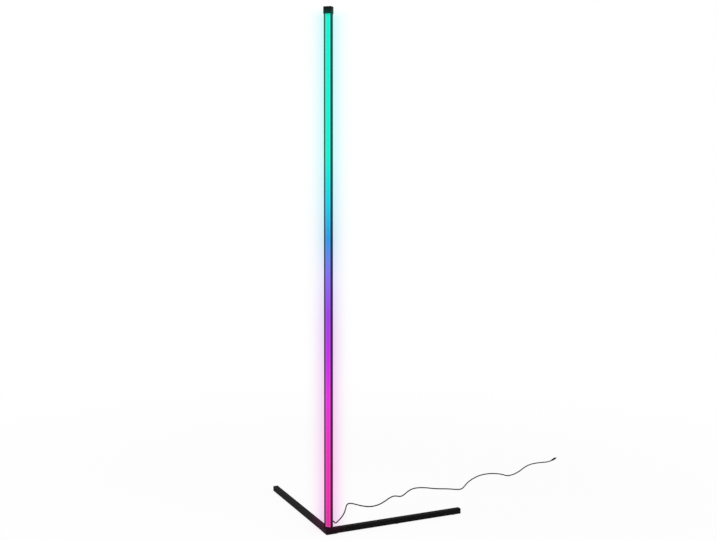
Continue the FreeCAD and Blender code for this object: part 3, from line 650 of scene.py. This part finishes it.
# ---- Plug ---------------------------------------------------------------------------------------
# A moulded low-voltage plug: a ribbed tail that holds the cord, a straight body with grip grooves,
# and a nickel plated barrel with its inner contact.
TAIL_BORE = CORD_DIAMETER / 2 + 0.0001
TAIL_RADIUS, BODY_RADIUS = 0.0023, 0.0031
TAIL_LENGTH, BODY_LENGTH = 0.012, 0.018
TAIL_RIBS, TAIL_BEVEL = 5, 0.0004
GRIP_START, GRIP_END = 0.016, 0.025
GRIP_COUNT = 5
GRIP_RADIUS = BODY_RADIUS + RIB_HEIGHT * 0.2
END_BEVEL, END_ROUNDING = 0.0007, 0.0002
NICKEL = screen_colour(206, 203, 197)
NICKEL_DULL = screen_colour(168, 164, 157)
NICKEL_WEAR = 0.0016
POLISH_MARK = 0.0002
POLISH_DEPTH = 0.00001

plug_foot = Vector(CORD_ROUTE[-1])
plug_axis = (Vector(CORD_ROUTE[-1]) - Vector(CORD_ROUTE[-2])).normalized()
plug_end = TAIL_LENGTH + BODY_LENGTH
plug_profile = [(0.0, 0.0), (TAIL_BORE, 0.0)]
plug_profile += ribbed(TAIL_RADIUS, BODY_RADIUS, TAIL_BEVEL, TAIL_LENGTH, TAIL_RIBS)
plug_profile += [(BODY_RADIUS, TAIL_LENGTH), (BODY_RADIUS, GRIP_START)]
plug_profile += ribbed(GRIP_RADIUS, GRIP_RADIUS, GRIP_START, GRIP_END, GRIP_COUNT)
plug_profile += [
    (BODY_RADIUS, GRIP_END), (BODY_RADIUS, plug_end - END_BEVEL),
    (BODY_RADIUS - END_ROUNDING, plug_end - END_ROUNDING), (BODY_RADIUS - END_BEVEL, plug_end),
    (0.0, plug_end),
]
plug = turned("plug_shell", plug_profile, plug_foot, plug_axis)
plug.data.materials.append(soft_cover)
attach(plug, "root")
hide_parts("plug_body")

nickel_plate, start = new_finish("nickel_plate")
wear = start.noise(NICKEL_WEAR, detail=4.0)
start.surface({
    "Base Color": wear.mix(NICKEL, NICKEL_DULL),
    "Metallic": 1.0,
    "Roughness": 0.16 + 0.16 * wear,
    "Normal": start.bump(start.noise(POLISH_MARK), POLISH_DEPTH),
})
dress(nickel_plate, "plug_barrel", "plug_contact")


# ---- Floor --------------------------------------------------------------------------------------
# A plain white studio floor. The camera and reflections see it as white, less a tenth near the lamp
# that stays ordinary paint and keeps the lamp's soft shadow. Light on the object sees only paint.
FLOOR_SIZE = 14.0
FLOOR_PAINT = (0.94, 0.94, 0.94, 1.0)
WHITE_NEAR, WHITE_GAIN = 0.9, 0.1
GAIN_FROM, GAIN_TO = 0.6, 2.2


def seen_directly(start):
    """1 for what the camera, a reflection or a clear surface looks at, 0 for light on the object."""
    rays = [start.node("LightPath", output=kind) for kind in
            ("Is Camera Ray", "Is Glossy Ray", "Is Transmission Ray")]
    return start.math("MINIMUM", rays[0] + rays[1] + rays[2], 1.0)


mesh = bmesh.new()
bmesh.ops.create_grid(mesh, x_segments=1, y_segments=1, size=FLOOR_SIZE / 2)
floor = placed("floor", mesh)

floor_white, start = new_finish("floor_white")
away = start.node("VectorMath", {"operation": "LENGTH"}, {0: start.place()}, "Value")
seamless = seen_directly(start) * (WHITE_NEAR + WHITE_GAIN * away.rise(GAIN_FROM, GAIN_TO))
painted = start.node("BsdfDiffuse", inputs={"Color": FLOOR_PAINT})
bright = start.node("Emission", inputs={"Color": WHITE, "Strength": 1.0})
covering = start.node("MixShader", inputs={0: seamless, 1: painted, 2: bright})
start.node("OutputMaterial", inputs={"Surface": covering}, output=None)
floor.data.materials.append(floor_white)


# ---- Air ----------------------------------------------------------------------------------------
# The air round the pole carries a thin haze that paints the soft halo seen beside it, a painted glow
# of the lamp's light. It lets through a tint of the light's colour, which shades the white behind
# into the coloured halo, and glows a little in it. It thins out away from the pole's axis, fades at
# both ends, and glows less near the floor. Each stop is a height and the tint let through.
HAZE_STOPS = (
    (0.10, (0.62, 0.07, 0.66, 1.0)),
    (0.36, (0.42, 0.1, 0.4, 1.0)),
    (0.55, (0.4, 0.12, 0.4, 1.0)),
    (0.70, (0.42, 0.4, 0.55, 1.0)),
    (0.80, (0.05, 0.42, 0.48, 1.0)),
    (1.00, (0.0, 0.5, 0.68, 1.0)),
)
HAZE_SPREAD = 0.029
HAZE_REACH = 0.075
HAZE_SIDES = 32
HAZE_LIFT = 0.0005
HAZE_FADE = 0.03
HAZE_DENSITY = 10.5
HAZE_GLOW = 0.45
GLOW_LEAST, GLOW_GAIN = 0.3, 0.7
GLOW_FROM, GLOW_TO = 0.02, 0.12

mesh = bmesh.new()
middle = Matrix.Translation((0, 0, cad_high.z / 2 + HAZE_LIFT))
bmesh.ops.create_cone(mesh, cap_ends=True, segments=HAZE_SIDES, radius1=HAZE_REACH,
                      radius2=HAZE_REACH, depth=cad_high.z, matrix=middle)
haze = placed("haze", mesh)

lit_air, start = new_finish("lit_air")
x, y, z = [start.distance(axis) for axis in "XYZ"]
falloff = start.math("EXPONENT", (x * x + y * y) * (-1 / HAZE_SPREAD ** 2))
ends = z.rise(0.0, HAZE_FADE) * (1 - z.rise(light_high.z - HAZE_FADE, light_high.z))
density = falloff * ends * HAZE_DENSITY
# The haze's glow is painted light: it shines in the light's colour though it holds no lamp.
shine = density * HAZE_GLOW * (GLOW_LEAST + GLOW_GAIN * z.rise(GLOW_FROM, GLOW_TO))
let_through = by_height(start, z, HAZE_STOPS)
tint = by_height(start, z, LIGHT_STOPS)
# The let-through tint paints the halo by darkening what lies behind the haze.
absorbing = start.node("VolumeAbsorption", inputs={"Color": let_through, "Density": density})
glowing = start.node("Emission", inputs={"Color": tint, "Strength": shine})
filling = start.node("AddShader", inputs={0: absorbing, 1: glowing})
start.node("OutputMaterial", inputs={"Volume": filling}, output=None)
haze.data.materials.append(lit_air)


# ---- Sky and soft boxes -------------------------------------------------------------------------
# An even white sky, dimmer for its light on the object than it looks, and two large soft boxes in
# front of the lamp and above it. Each box is a name, a place, a size across and a power in watts.
SKY_LEVEL = 0.55
SOFT_BOXES = (
    ("key_box", (-1.8, -2.2, 2.9), 2.2, 62.0),
    ("fill_box", (2.4, -1.2, 2.4), 1.8, 26.0),
)

sky = bpy.data.worlds.new("sky")
sky.use_nodes = True
sky.node_tree.nodes.clear()
start = Signal(sky.node_tree)
level = SKY_LEVEL + (1 - SKY_LEVEL) * seen_directly(start)
even = start.node("Background", inputs={"Color": WHITE, "Strength": level})
start.node("OutputWorld", inputs={"Surface": even}, output=None)
bpy.context.scene.world = sky

for name, place, size, power in SOFT_BOXES:
    box_light = bpy.data.lights.new(name, "AREA")
    box_light.size = size
    box_light.energy = power
    soft_box = bpy.data.objects.new(name, box_light)
    aim = Vector((0, 0, cad_high.z / 2)) - Vector(place)
    facing = aim.to_track_quat("-Z", "Y").to_matrix().to_4x4()
    soft_box.matrix_world = Matrix.Translation(place) @ facing
    soft_box.visible_camera = False
    bpy.context.scene.collection.objects.link(soft_box)

bpy.context.scene.view_settings.view_transform = "Standard"
